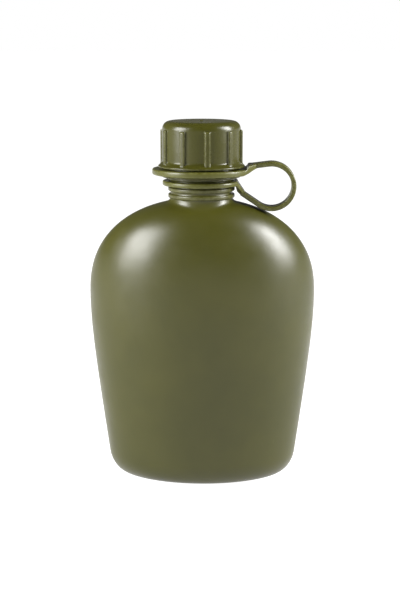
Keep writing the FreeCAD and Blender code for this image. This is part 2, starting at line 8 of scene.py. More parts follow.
# A plastic belt canteen: a kidney-shaped bottle, a ribbed screw cap with a rubber seal, and a
# moulded strap that ties the cap to the neck.
#
# The frame is in metres. Shapes here are drawn in millimetres about the neck's axis, with z = 0
# under the bottle, and `place` puts them in the frame.
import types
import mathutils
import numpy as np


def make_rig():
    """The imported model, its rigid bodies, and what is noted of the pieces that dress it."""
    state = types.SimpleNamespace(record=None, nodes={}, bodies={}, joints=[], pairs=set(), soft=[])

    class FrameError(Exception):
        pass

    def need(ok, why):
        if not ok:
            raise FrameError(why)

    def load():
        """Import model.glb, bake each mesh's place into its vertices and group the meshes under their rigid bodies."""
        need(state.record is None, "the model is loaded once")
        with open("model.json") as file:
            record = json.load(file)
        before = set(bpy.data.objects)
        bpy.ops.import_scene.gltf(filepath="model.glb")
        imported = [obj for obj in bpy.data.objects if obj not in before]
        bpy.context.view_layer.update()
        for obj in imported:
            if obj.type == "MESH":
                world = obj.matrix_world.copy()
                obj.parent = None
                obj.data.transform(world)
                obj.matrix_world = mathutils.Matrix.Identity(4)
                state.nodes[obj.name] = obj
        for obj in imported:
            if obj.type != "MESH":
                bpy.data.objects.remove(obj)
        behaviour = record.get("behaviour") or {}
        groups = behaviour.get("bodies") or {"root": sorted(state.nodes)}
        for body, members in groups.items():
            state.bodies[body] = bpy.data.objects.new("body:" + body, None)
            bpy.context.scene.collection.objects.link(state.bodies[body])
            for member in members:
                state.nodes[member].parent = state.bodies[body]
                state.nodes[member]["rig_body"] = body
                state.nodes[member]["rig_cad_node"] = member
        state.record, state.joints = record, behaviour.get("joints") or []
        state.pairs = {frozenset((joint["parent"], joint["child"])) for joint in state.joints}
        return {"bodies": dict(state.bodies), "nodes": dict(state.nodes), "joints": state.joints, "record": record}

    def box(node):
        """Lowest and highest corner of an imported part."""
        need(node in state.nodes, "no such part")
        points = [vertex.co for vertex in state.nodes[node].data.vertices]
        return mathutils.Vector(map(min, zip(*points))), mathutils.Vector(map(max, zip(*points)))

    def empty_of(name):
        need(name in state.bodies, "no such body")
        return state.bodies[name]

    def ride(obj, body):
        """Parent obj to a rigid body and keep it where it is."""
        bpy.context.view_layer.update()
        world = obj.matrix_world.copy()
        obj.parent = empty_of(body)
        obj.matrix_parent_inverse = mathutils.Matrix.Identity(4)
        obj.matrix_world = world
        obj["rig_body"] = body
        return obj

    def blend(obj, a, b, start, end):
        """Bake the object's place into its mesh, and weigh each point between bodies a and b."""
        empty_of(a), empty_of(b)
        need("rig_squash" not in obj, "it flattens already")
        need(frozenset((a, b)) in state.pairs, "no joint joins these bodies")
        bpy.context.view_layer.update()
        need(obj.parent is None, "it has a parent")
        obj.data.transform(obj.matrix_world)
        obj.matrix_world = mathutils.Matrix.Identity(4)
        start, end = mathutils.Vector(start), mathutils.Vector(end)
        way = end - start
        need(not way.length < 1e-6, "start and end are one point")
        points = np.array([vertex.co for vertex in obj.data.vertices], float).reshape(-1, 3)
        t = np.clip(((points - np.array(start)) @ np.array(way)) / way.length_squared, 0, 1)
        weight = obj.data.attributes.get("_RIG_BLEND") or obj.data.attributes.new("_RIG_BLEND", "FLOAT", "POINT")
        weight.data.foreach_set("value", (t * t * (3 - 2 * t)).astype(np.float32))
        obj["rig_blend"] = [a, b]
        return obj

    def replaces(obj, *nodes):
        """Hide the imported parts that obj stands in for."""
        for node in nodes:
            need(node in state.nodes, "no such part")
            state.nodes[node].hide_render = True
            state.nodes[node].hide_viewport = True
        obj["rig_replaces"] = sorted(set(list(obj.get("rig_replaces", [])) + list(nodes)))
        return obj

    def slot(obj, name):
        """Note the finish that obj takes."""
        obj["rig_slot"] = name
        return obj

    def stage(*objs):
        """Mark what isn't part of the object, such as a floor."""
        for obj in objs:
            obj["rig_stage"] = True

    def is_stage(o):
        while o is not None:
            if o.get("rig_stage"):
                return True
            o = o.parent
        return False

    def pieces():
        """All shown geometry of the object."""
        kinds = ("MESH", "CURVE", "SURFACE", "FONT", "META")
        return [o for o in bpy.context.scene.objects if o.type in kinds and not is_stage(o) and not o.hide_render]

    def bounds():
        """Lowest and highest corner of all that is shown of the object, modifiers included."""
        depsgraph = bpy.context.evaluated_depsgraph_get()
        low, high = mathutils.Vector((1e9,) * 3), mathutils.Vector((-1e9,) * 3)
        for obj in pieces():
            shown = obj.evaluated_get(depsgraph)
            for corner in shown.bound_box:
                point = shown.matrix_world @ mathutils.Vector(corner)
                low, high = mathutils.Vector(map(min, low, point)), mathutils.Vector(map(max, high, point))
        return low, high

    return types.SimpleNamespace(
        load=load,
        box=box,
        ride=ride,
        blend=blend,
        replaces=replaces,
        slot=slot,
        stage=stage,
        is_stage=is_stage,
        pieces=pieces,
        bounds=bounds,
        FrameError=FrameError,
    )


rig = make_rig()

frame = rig.load()
cad_low, cad_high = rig.bounds()

MM = 0.001


def box_mm(node):
    """A CAD node's lowest and highest corners, in millimetres."""
    low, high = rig.box(node)
    return Vector(low) / MM, Vector(high) / MM


seal_low, seal_high = box_mm("cap_seal")
bottle_low, bottle_high = box_mm("bottle")
cap_low, cap_top_corner = box_mm("cap")
neck_loop_high = box_mm("neck_loop")[1]
cap_loop_low, cap_loop_high = box_mm("cap_loop")

NECK_Y = (seal_low.y + seal_high.y) / 2


def place(x, y, z):
    """A point about the neck's axis, in millimetres, as a point of the frame, in metres."""
    return (x * MM, (y + NECK_Y) * MM, z * MM)


# Bottle
HALF_WIDTH = (bottle_high.x - bottle_low.x) / 2
HALF_DEPTH = 32.0
SECTION_BEND = 66.0
WIDEST_HEIGHT = 113.9
DOME_HEIGHT = 58.9
DOME_TOP_SHARE = 0.985
SIDE_POWER = 2.18
FRONT_POWER = 2.9
SECTION_POWER_GAIN = 0.4
SIDE_TAPER = 0.153
FRONT_TAPER = 0.127
TAPER_BLEND = 32.8
CORNER_WIDTH = 9.6
CORNER_HEIGHT = 13.4
WALL = 1.8
RECESS_MARGIN = 3.2
RECESS_DEPTH = 1.5
BODY_COLUMNS = 160
DOME_ROWS = 72
DOME_STEPS = 30
SHOULDER_HEIGHT = 145.0

# Neck
NECK_RADIUS = 18.3
MOUTH_RADIUS = 15.9
NECK_FILLET = 3.0
BEAD_RADIUS = 19.7
COLLAR_RADIUS = 19.9
LOWER_BEAD = (173.2, 175.6)
UPPER_BEAD = (177.3, 179.5)
COLLAR = (184.0, 185.2)
RIM_HEIGHT = bottle_high.z
RIM_ROUND = 0.6
MOUTH_ROUND = 0.4

# Screw thread
PITCH = 6.0
TURNS = 2.5
RIDGE_ROOT = 1.3
RIDGE_CREST = 0.7
NECK_THREAD_START = 190.0
NECK_THREAD_RADIUS = 20.0
CAP_THREAD_START = 187.0
CAP_THREAD_RADIUS = 18.9
THREAD_SINK = 0.3

# Cap
GATE_HEIGHT = 0.4
CAP_TOP = cap_top_corner.z - GATE_HEIGHT
CAP_BOTTOM = cap_low.z
CAP_RADIUS = 23.1
CAP_BORE = 20.4
CAP_CEILING = seal_high.z
CAP_TOP_ROUND = 4.6
LIP_RADIUS = 23.3
LIP_TOP = CAP_BOTTOM + 1.0
GROOVE_RADIUS = 22.0
FLANGE_RADIUS = cap_top_corner.x
FLANGE_BOTTOM = 191.2
FLANGE_EDGE = 0.9
FLANGE_TOP = 194.3
RIB_COUNT = 10
RIB_ANGLE = -80.2
RIB_HALF_WIDTH = 1.6
RIB_RISE = 1.4
RIB_ROUND = 1.0
RIB_FOOT = 0.3
RIB_TOP = 213.2

# Seal
SEAL_HOLE = 13.0
SEAL_ROUND = 0.45
SEAL_DENT = 0.1

# Strap
BAND_WIDTH = 11.0
BAND_THICKNESS = 2.8
BAND_ROUND = 0.75
BEND_CENTRE = (41.4, 180.0)
BEND_RADIUS = 13.2
LOWER_SLOPE = math.radians(34)
UPPER_SLOPE = math.radians(7)
NECK_RING_HOLE = 18.9
NECK_RING_RADIUS = neck_loop_high.y - NECK_Y
NECK_RING_TOP = neck_loop_high.z
CAP_RING_HOLE = 22.6
CAP_RING_RADIUS = cap_loop_high.y - NECK_Y
CAP_RING_BOTTOM = cap_loop_low.z
CAP_RING_THICKNESS = 3.4
RING_ROUND = 0.8
HOLE_ROUND = 0.3
NECK_TAB_END = 25.9
CAP_TAB_END = 34.0

# A crease sharper than this, in degrees, is shaded as an edge
SHARP_CREASE = 50


# ---------------------------------------------------------------------------------------------
# Mesh helpers
# ---------------------------------------------------------------------------------------------

def between(low, high, share):
    return low + (high - low) * share


def clamp(number):
    return min(max(number, 0.0), 1.0)


def smooth(share):
    share = clamp(share)
    return share * share * (3 - 2 * share)


def along_corners(x, corners):
    """The height at x of a line through corners, each rounded a little by averaging nearby."""
    def straight(at):
        for (x0, z0), (x1, z1) in zip(corners, corners[1:]):
            if at <= x1:
                return between(z0, z1, clamp((at - x0) / (x1 - x0)))
        return corners[-1][1]
    reach = 0.25
    return sum(straight(x + step * reach) for step in (-1, -0.5, 0, 0.5, 1)) / 5


def skin(name, rings, ends):
    """A closed mesh through rings of equally many points. Its two ends are drawn to a point
    ("fan"), closed by a flat face ("flat") or joined to each other ("loop")."""
    count = len(rings[0])
    points = [place(*point) for ring in rings for point in ring]
    faces = []
    for row in range(len(rings) if ends == "loop" else len(rings) - 1):
        here = row * count
        there = (row + 1) % len(rings) * count
        for column in range(count):
            after = (column + 1) % count
            faces.append((here + column, here + after, there + after, there + column))
    for start in (0, (len(rings) - 1) * count):
        rim = list(range(start, start + count))
        if ends == "flat":
            faces.append(rim)
        if ends == "fan":
            middle = sum((Vector(points[number]) for number in rim), Vector()) / count
            points.append(tuple(middle))
            faces += [(here, there, len(points) - 1) for here, there in zip(rim, rim[1:] + rim[:1])]
    mesh = bpy.data.meshes.new(name)
    mesh.from_pydata(points, [], faces)
    return finished(name, mesh)


def finished(name, mesh):
    """An object of the mesh, with its faces turned outwards, smooth shading and marked edges."""
    work = bmesh.new()
    work.from_mesh(mesh)
    bmesh.ops.recalc_face_normals(work, faces=work.faces)
    work.to_mesh(mesh)
    work.free()
    mesh.shade_smooth()
    mesh.set_sharp_from_angle(angle=math.radians(SHARP_CREASE))
    mark_edges(mesh)
    piece = bpy.data.objects.new(name, mesh)
    bpy.context.scene.collection.objects.link(piece)
    weighted = piece.modifiers.new("face_weighted_normals", "WEIGHTED_NORMAL")
    weighted.keep_sharp = True
    return piece


def mark_edges(mesh):
    """Stores how sharply each point stands out, for the wear on raised edges."""
    sharpest = [0.0] * len(mesh.vertices)
    for edge in mesh.edges:
        for here, there in (edge.vertices, reversed(edge.vertices)):
            step = mesh.vertices[there].co - mesh.vertices[here].co
            bend = -2 * mesh.vertices[here].normal.dot(step) / max(step.length_squared, 1e-12)
            sharpest[here] = max(sharpest[here], bend * MM)
    wear = mesh.attributes.new("edge_wear", "FLOAT", "POINT")
    wear.data.foreach_set("value", [clamp(bend) for bend in sharpest])


def dress(piece, material, slot):
    piece.data.materials.clear()
    piece.data.materials.append(material)
    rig.slot(piece, slot)


def arc(centre, radius, from_angle, to_angle, steps):
    """Points of an outline's round corner, as (radius, height), with angles in degrees."""
    points = []
    for step in range(steps + 1):
        angle = math.radians(between(from_angle, to_angle, step / steps))
        points.append((centre[0] + radius * math.cos(angle), centre[1] + radius * math.sin(angle)))
    return points


def turned_ring(radius, height, angles):
    return [(radius * math.cos(angle), radius * math.sin(angle), height) for angle in angles]


def even_angles(count):
    return [2 * math.pi * number / count for number in range(count)]


# ---------------------------------------------------------------------------------------------
# Bottle
# ---------------------------------------------------------------------------------------------

def dome(height, power):
    rise = clamp((height - WIDEST_HEIGHT) / DOME_HEIGHT)
    return (1 - rise ** power) ** (1 / power)


def tapered(height, slope):
    return slope * (math.hypot(WIDEST_HEIGHT - height, TAPER_BLEND) - TAPER_BLEND)


def outer_extent(height):
    """Half the width and half the thickness of the outer skin at a height."""
    left = max(0.0, 1 - height / CORNER_HEIGHT)
    inset = CORNER_WIDTH * (1 - math.sqrt(1 - left ** 2))
    if height >= WIDEST_HEIGHT:
        width = HALF_WIDTH * dome(height, SIDE_POWER)
        depth = HALF_DEPTH * dome(height, FRONT_POWER)
    else:
        width = HALF_WIDTH - tapered(height, SIDE_TAPER)
        depth = HALF_DEPTH - tapered(height, FRONT_TAPER)
    return width - inset, depth - inset


def inner_extent(height):
    """The same for the inner skin, one wall thickness inside the outer one."""
    nearest = []
    for angle in range(-90, 91, 15):
        step = WALL * math.sin(math.radians(angle))
        reach = math.sqrt(max(WALL ** 2 - step ** 2, 0.0))
        width, depth = outer_extent(min(height + step, dome_top()))
        nearest.append((width - reach, depth - reach))
    return min(width for width, depth in nearest), min(depth for width, depth in nearest)


def dome_top():
    return WIDEST_HEIGHT + DOME_TOP_SHARE * DOME_HEIGHT


def oval_point(turn, power):
    """A point of a unit oval, between an ellipse (power 2) and a rounded box, at part of a turn."""
    across, back = math.cos(2 * math.pi * turn), math.sin(2 * math.pi * turn)
    return (math.copysign(abs(across) ** (2 / power), across),
            math.copysign(abs(back) ** (2 / power), back))


def bent_point(point, spread, depth):
    """That point bent round an upright axis behind the bottle, which gives the kidney shape."""
    reach = SECTION_BEND - depth * point[1]
    return (reach * math.sin(spread * point[0]),
            SECTION_BEND - reach * math.cos(spread * point[0]))


def section(height, extent, fill=1.0):
    """One closed section of the bottle, or with a fill below 1 a smaller one nested in it."""
    width, depth = extent
    power = 2 + SECTION_POWER_GAIN * clamp((width - NECK_RADIUS) / (HALF_WIDTH - NECK_RADIUS))
    ovals = [oval_point(number / BODY_COLUMNS, power) for number in range(BODY_COLUMNS)]
    low, high = 0.0, math.pi / 2
    while high - low > 1e-6:
        middle = (low + high) / 2
        if max(bent_point(point, middle, depth)[0] for point in ovals) < width:
            low = middle
        else:
            high = middle
    nested = [(across * fill, back * fill) for across, back in ovals]
    return [(*bent_point(point, low, depth), height) for point in nested]


def place_inside(path, radius):
    """Where a column that climbs the dome first comes within a radius of the neck's axis, as the
    number of the step and the point."""
    for number, (here, there) in enumerate(zip(path, path[1:])):
        if math.hypot(there[0], there[1]) < radius:
            before, after = math.hypot(here[0], here[1]), math.hypot(there[0], there[1])
            return number, Vector(here).lerp(Vector(there), (before - radius) / (before - after))
    raise ValueError("the dome never comes within %.1f mm" % radius)


def evenly(path, count):
    """The path again, with that many points spaced evenly along it."""
    reach = [0.0]
    for here, there in zip(path, path[1:]):
        reach.append(reach[-1] + (Vector(there) - Vector(here)).length)
    points = []
    step = 0
    for number in range(count):
        wanted = reach[-1] * number / (count - 1)
        while step < len(path) - 2 and reach[step + 1] < wanted:
            step += 1
        share = clamp((wanted - reach[step]) / max(reach[step + 1] - reach[step], 1e-9))
        points.append(tuple(Vector(path[step]).lerp(Vector(path[step + 1]), share)))
    return points


def dome_rings(extent_at, top, tube_radius, blend):
    """Rings from the widest height up the dome and round into the neck's tube."""
    heights = [WIDEST_HEIGHT + (top - WIDEST_HEIGHT) * math.sin(math.pi / 2 * row / DOME_ROWS)
               for row in range(DOME_ROWS + 1)]
    sections = [section(height, extent_at(height)) for height in heights]
    columns = []
    for column in range(BODY_COLUMNS):
        path = [ring[column] for ring in sections]
        step, start = place_inside(path, tube_radius + blend)
        corner = place_inside(path, tube_radius)[1]
        end = corner + Vector((0, 0, blend))
        climb = evenly(path[:step + 1] + [tuple(start)], DOME_STEPS)
        for share in (0.15, 0.3, 0.45, 0.6, 0.8, 1.0):
            point = start.lerp(corner, share).lerp(corner.lerp(end, share), share)
            if share > 0.5:
                reach = math.hypot(point.x, point.y)
                point.x *= max(tube_radius, reach) / reach
                point.y *= max(tube_radius, reach) / reach
            climb.append(tuple(point))
        columns.append(climb)
    return [list(ring) for ring in zip(*columns)]


def base_rings():
    """Rings from the middle of the shallow hollow under the base, out to the foot of the sides."""
    width, depth = outer_extent(0)

    def inset(height, margin, fill=1.0):
        reach = RECESS_MARGIN * margin
        return section(height, (width - reach, depth - reach), fill)
    rings = [inset(RECESS_DEPTH, 2.0, fill) for fill in (0.08, 0.25, 0.42, 0.6, 0.78, 0.93)]
    wall = ((1.0, 2.0), (0.93, 1.75), (0.72, 1.5), (0.4, 1.27), (0.12, 1.1), (0.0, 0.95))
    for height, margin in wall:
        rings.append(inset(RECESS_DEPTH * height, margin))
    rings.append(inset(0.0, 0.5))
    for angle in range(0, 90, 10):
        height = CORNER_HEIGHT * (1 - math.cos(math.radians(angle)))
        rings.append(section(height, outer_extent(height)))
    return rings


def side_rings(extent_at, bottom, rows):
    heights = [between(bottom, WIDEST_HEIGHT, row / rows) for row in range(rows)]
    return [section(height, extent_at(height)) for height in heights]


def neck_outline():
    """(radius, height) from the foot of the neck, over the beads and the collar, to the rim."""
    beads = (
        (*LOWER_BEAD, BEAD_RADIUS, 0.7),
        (*UPPER_BEAD, BEAD_RADIUS, 0.6),
        (*COLLAR, COLLAR_RADIUS, 0.4),
    )
    outline = []
    for bottom, top, radius, round_ in beads:
        outline.append((NECK_RADIUS, bottom - 0.5))
        outline.append((NECK_RADIUS + 0.12, bottom - 0.15))
        outline += arc((radius - round_, bottom + round_), round_, -80, 0, 4)
        outline += arc((radius - round_, top - round_), round_, 0, 80, 4)
        outline.append((NECK_RADIUS + 0.12, top + 0.15))
        outline.append((NECK_RADIUS, top + 0.5))
    outline += [(NECK_RADIUS, height) for height in (190.0, 196.0, 202.0, 208.0)]
    outline += arc((NECK_RADIUS - RIM_ROUND, RIM_HEIGHT - RIM_ROUND), RIM_ROUND, 0, 90, 4)
    outline += arc((MOUTH_RADIUS + MOUTH_ROUND, RIM_HEIGHT - MOUTH_ROUND), MOUTH_ROUND, 90, 180, 3)
    return outline


def make_bottle():
    """One closed shell: up the outside, over the rim, and down the inside to the floor."""
    outside = base_rings()
    outside += side_rings(outer_extent, CORNER_HEIGHT, 24)
    outside += dome_rings(outer_extent, dome_top(), NECK_RADIUS, NECK_FILLET)
    angles = [math.atan2(y, x) for x, y, z in outside[-1]]
    for radius, height in neck_outline():
        outside.append(turned_ring(radius, height, angles))

    floor = WALL + RECESS_DEPTH
    inside = [section(floor, inner_extent(floor), fill) for fill in (0.1, 0.4, 0.7, 0.92)]
    for angle in range(10, 90, 16):
        height = floor + CORNER_HEIGHT * (1 - math.cos(math.radians(angle)))
        inside.append(section(height, inner_extent(height)))
    inside += side_rings(inner_extent, floor + CORNER_HEIGHT, 12)
    inside += dome_rings(inner_extent, dome_top() - WALL, MOUTH_RADIUS, 1.0)
    inner_angles = [math.atan2(y, x) for x, y, z in inside[-1]]
    bore_heights = (180.0, 188.0, 196.0, 204.0, 210.0)
    for height in bore_heights:
        share = (height - bore_heights[0]) / (bore_heights[-1] - bore_heights[0])
        mixed = [here + share * math.remainder(there - here, 2 * math.pi)
                 for here, there in zip(inner_angles, angles)]
        inside.append(turned_ring(MOUTH_RADIUS, height, mixed))
    return skin("bottle_shell", outside + inside[::-1], "fan")


def make_thread(name, start, root_radius, crest_radius):
    """A right-handed screw ridge that fades into the wall at both ends."""
    steps_per_turn = 72
    count = int(TURNS * steps_per_turn)
    fade = 9
    rings = []
    for number in range(count + 1):
        angle = 2 * math.pi * number / steps_per_turn
        height = start + PITCH * number / steps_per_turn
        share = smooth(min(number, count - number) / fade)
        crest = between(root_radius, crest_radius, share)
        shoulder = between(root_radius, crest, 0.8)
        outline = [(root_radius, -RIDGE_ROOT), (shoulder, -RIDGE_CREST - 0.15),
                   (crest, -RIDGE_CREST + 0.2), (crest, RIDGE_CREST - 0.2),
                   (shoulder, RIDGE_CREST + 0.15), (root_radius, RIDGE_ROOT)]
        rings.append([(radius * math.cos(angle), radius * math.sin(angle), height + rise)
                      for radius, rise in outline])
    return skin(name, rings, "flat")


# ---------------------------------------------------------------------------------------------
# Cap and seal
# ---------------------------------------------------------------------------------------------

def rib_rise(offset):
    """How far a rib stands out of the cap at a distance from the rib's middle."""
    beyond = abs(offset) - (RIB_HALF_WIDTH - RIB_ROUND)
    if beyond <= 0:
        return RIB_RISE
    if beyond <= RIB_ROUND:
        return RIB_RISE - RIB_ROUND + math.sqrt(RIB_ROUND ** 2 - beyond ** 2)
    return (RIB_RISE - RIB_ROUND) * max(0.0, 1 - (beyond - RIB_ROUND) / RIB_FOOT) ** 2


def cap_columns():
    """(angle, rise of the rib there) all round the cap, closer together across each rib."""
    shares = (0.0, 0.2, 0.375, 0.55, 0.72, 0.85, 0.94, 1.0, 1.07, 1.19)
    offsets = [RIB_HALF_WIDTH * share for share in shares]
    across = [-offset for offset in reversed(offsets[1:])] + offsets
    pitch = 2 * math.pi / RIB_COUNT
    gap = pitch - 2 * offsets[-1] / CAP_RADIUS
    plain_columns = 9
    columns = []
    for rib in range(RIB_COUNT):
        middle = math.radians(RIB_ANGLE) + rib * pitch
        columns += [(middle + offset / CAP_RADIUS, rib_rise(offset)) for offset in across]
        edge = middle + offsets[-1] / CAP_RADIUS
        columns += [(edge + gap * step / plain_columns, 0.0) for step in range(1, plain_columns)]
    return columns


def cap_outline():
    """(radius, height, share of the rib's rise) from the top's middle, down the outside and up
    the bore to the ceiling."""
    gate = [(0.5, CAP_TOP + GATE_HEIGHT), (0.72, CAP_TOP + 0.32), (0.8, CAP_TOP + 0.12),
            (1.0, CAP_TOP)]
    top = [(radius, CAP_TOP) for radius in (2.5, 7.0, 12.0, 16.0)]
    corner = (CAP_RADIUS - CAP_TOP_ROUND, CAP_TOP - CAP_TOP_ROUND)
    plain = gate + top + arc(corner, CAP_TOP_ROUND, 90, 4, 12)
    outline = [(radius, height, 0.0) for radius, height in plain]
    outline.append((CAP_RADIUS, RIB_TOP + 0.12, 0.0))
    outline.append((CAP_RADIUS, RIB_TOP, 0.3))
    for angle in (15, 35, 55, 75, 90):
        share = (RIB_RISE - RIB_ROUND + RIB_ROUND * math.sin(math.radians(angle))) / RIB_RISE
        height = RIB_TOP - RIB_ROUND * (1 - math.cos(math.radians(angle)))
        outline.append((CAP_RADIUS, height, share))
    outline += [(CAP_RADIUS, height, 1.0) for height in (209.0, 205.0, 201.0, 198.0, 196.0, 195.0)]
    outline.append((CAP_RADIUS + 0.05, FLANGE_TOP + 0.35, 1.0))
    outline.append((CAP_RADIUS + 0.25, FLANGE_TOP - 0.05, 1.0))
    edge = FLANGE_BOTTOM + FLANGE_EDGE
    outline += [(between(CAP_RADIUS, FLANGE_RADIUS, share), between(FLANGE_TOP, edge, share), 1.0)
                for share in (0.25, 0.4, 0.55, 0.7, 0.85)]
    tail = arc((FLANGE_RADIUS - 0.35, edge - 0.15), 0.35, 60, 0, 3)
    tail += arc((FLANGE_RADIUS - 0.3, FLANGE_BOTTOM + 0.3), 0.3, 0, -90, 3)
    tail += arc((GROOVE_RADIUS + 0.4, FLANGE_BOTTOM - 0.4), 0.4, 90, 180, 3)
    tail += arc((GROOVE_RADIUS + 0.3, LIP_TOP + 0.3), 0.3, 180, 270, 3)
    tail += arc((LIP_RADIUS - 0.3, LIP_TOP - 0.3), 0.3, 90, 0, 3)
    tail += arc((LIP_RADIUS - 0.3, CAP_BOTTOM + 0.3), 0.3, 0, -90, 3)
    tail += arc((CAP_BORE + 0.4, CAP_BOTTOM + 0.4), 0.4, 270, 180, 3)
    tail += [(CAP_BORE, height) for height in (191.0, 199.0, 207.0)]
    tail += arc((CAP_BORE - 0.4, CAP_CEILING - 0.4), 0.4, 0, 90, 3)
    tail += [(radius, CAP_CEILING) for radius in (17.0, 11.0, 5.0)]
    return outline + [(radius, height, 0.0) for radius, height in tail]


def make_cap():
    columns = cap_columns()
    rings = []
    for radius, height, share in cap_outline():
        ring = []
        for angle, rise in columns:
            reach = max(radius, CAP_RADIUS + rise * share) if share else radius
            ring.append((reach * math.cos(angle), reach * math.sin(angle), height))
        rings.append(ring)
    return skin("cap_shell", rings, "fan")


def make_seal():
    """A flat ring with rounded edges and the faint dent that the bottle's rim presses into it."""
    bottom, top = seal_low.z, seal_high.z
    outer = seal_high.x
    outline = arc((outer - SEAL_ROUND, bottom + SEAL_ROUND), SEAL_ROUND, -90, 0, 4)
    outline += arc((outer - SEAL_ROUND, top - SEAL_ROUND), SEAL_ROUND, 0, 90, 4)
    outline += arc((SEAL_HOLE + SEAL_ROUND, top - SEAL_ROUND), SEAL_ROUND, 90, 180, 4)
    outline += arc((SEAL_HOLE + SEAL_ROUND, bottom + SEAL_ROUND), SEAL_ROUND, 180, 270, 4)
    outline += [(MOUTH_RADIUS - 0.3, bottom), (MOUTH_RADIUS + 0.1, bottom + SEAL_DENT),
                (NECK_RADIUS - 0.1, bottom + SEAL_DENT), (NECK_RADIUS + 0.3, bottom)]
    rings = [turned_ring(radius, height, even_angles(96)) for radius, height in outline]
    return skin("seal_ring", rings, "loop")


# ---------------------------------------------------------------------------------------------
# Strap
# ---------------------------------------------------------------------------------------------

BEND_START = -math.pi / 2 - LOWER_SLOPE
BEND_END = math.pi / 2 + UPPER_SLOPE
BEND_LENGTH = BEND_RADIUS * (BEND_END - BEND_START)


def strap_point(reach):
    """The middle of the band at a distance along it from the bend's start, and its direction, both
    as (x, z). The lower arm lies before 0 and the upper arm after BEND_LENGTH."""
    angle = BEND_START + min(max(reach, 0.0), BEND_LENGTH) / BEND_RADIUS
    direction = Vector((-math.sin(angle), math.cos(angle)))
    point = Vector(BEND_CENTRE) + BEND_RADIUS * Vector((math.cos(angle), math.sin(angle)))
    beyond = reach - min(max(reach, 0.0), BEND_LENGTH)
    return point + direction * beyond, direction


def reach_at(angle):
    """The distance along the band at an angle of the bend, in degrees from +X."""
    return (math.radians(angle) - BEND_START) * BEND_RADIUS


def band_outline():
    """The band's rounded section, as (towards the bend's outside, y)."""
    thick, wide = BAND_THICKNESS / 2 - BAND_ROUND, BAND_WIDTH / 2 - BAND_ROUND
    outline = arc((thick, wide), BAND_ROUND, 0, 90, 4)
    outline += arc((-thick, wide), BAND_ROUND, 90, 180, 4)
    outline += [(-BAND_THICKNESS / 2, wide * share) for share in (0.5, 0.0, -0.5)]
    outline += arc((-thick, -wide), BAND_ROUND, 180, 270, 4)
    outline += arc((thick, -wide), BAND_ROUND, 270, 360, 4)
    outline += [(BAND_THICKNESS / 2, wide * share) for share in (-0.5, 0.0, 0.5)]
    return outline


def make_band(name, start, end):
    """A length of the strap's band, between two distances along it."""
    spacing = 0.8
    count = max(2, round((end - start) / spacing))
    rings = []
    for number in range(count + 1):
        point, direction = strap_point(between(start, end, number / count))
        outwards = Vector((direction.y, -direction.x))
        ring = []
        for out, y in band_outline():
            spot = point + outwards * out
            ring.append((spot.x, y, spot.y))
        rings.append(ring)
    return skin(name, rings, "flat")


def ring_columns():
    """Angles all round a strap ring, closer together on the side where the band leaves it."""
    fine = [math.radians(angle) for angle in range(-44, 45)]
    coarse = [math.radians(angle) for angle in range(47, 314, 3)]
    return fine + coarse


def teardrop(angle, radius, touch, end_x):
    """The outline of a ring drawn out to a tab: straight from where it leaves the ring, and cut
    off square."""
    turn = abs(math.remainder(angle, 2 * math.pi))
    if turn >= touch:
        return radius
    return min(radius / math.cos(touch - turn), end_x / math.cos(turn))


def ring_section(hole, edge):
    """(radius, share of the height, rise) round a strap ring's section: out along the bottom,
    round the outer edge, back along the top and down the hole."""
    inwards = edge - RING_ROUND
    spans = [between(hole + HOLE_ROUND, inwards, number / 13) for number in range(14)]
    leans = [math.radians(turn) for turn in (30, 60, 90)]
    corner = [(inwards + RING_ROUND * math.sin(lean), RING_ROUND * (1 - math.cos(lean)))
              for lean in leans]
    outline = [(radius, 0, 0) for radius in spans]
    outline += [(radius, 0, rise) for radius, rise in corner]
    outline.append((edge, 0.5, 0))
    outline += [(radius, 1, -rise) for radius, rise in reversed(corner)]
    outline += [(radius, 1, 0) for radius in reversed(spans)]
    bevel = HOLE_ROUND * 0.3
    outline += [(hole + bevel, 1, -bevel), (hole, 1, -HOLE_ROUND)]
    outline += [(hole, 0, HOLE_ROUND), (hole + bevel, 0, bevel)]
    return outline


def make_strap_ring(name, hole, outline_at, top_at, bottom_at):
    """A flat ring whose outer edge, top and bottom are functions."""
    columns = []
    for angle in ring_columns():
        column = []
        for radius, share_up, rise in ring_section(hole, outline_at(angle)):
            x, y = radius * math.cos(angle), radius * math.sin(angle)
            column.append((x, y, between(bottom_at(x, y), top_at(x, y), share_up) + rise))
        columns.append(column)
    return skin(name, columns, "loop")


def make_neck_ring():
    """The ring round the neck, with the lug that leads down into the band."""
    top = NECK_RING_TOP
    top_line = [(0, top), (21.0, top), (22.6, top - 2.4), (26.4, top - 7.4)]
    lug_line = [(0, top - BAND_THICKNESS), (20.3, top - BAND_THICKNESS), (20.9, top - 6.1),
                (24.8, top - 9.7), (26.4, top - 10.9)]

    def top_at(x, y):
        return along_corners(x, top_line)

    def bottom_at(x, y):
        plain = top_at(x, y) - BAND_THICKNESS
        share = smooth((BAND_WIDTH / 2 + 0.3 - abs(y)) / 0.6) if x > 0 else 0.0
        return between(plain, min(plain, along_corners(x, lug_line)), share)

    def outline_at(angle):
        return teardrop(angle, NECK_RING_RADIUS, math.radians(35), NECK_TAB_END)
    return make_strap_ring("neck_ring", NECK_RING_HOLE, outline_at, top_at, bottom_at)


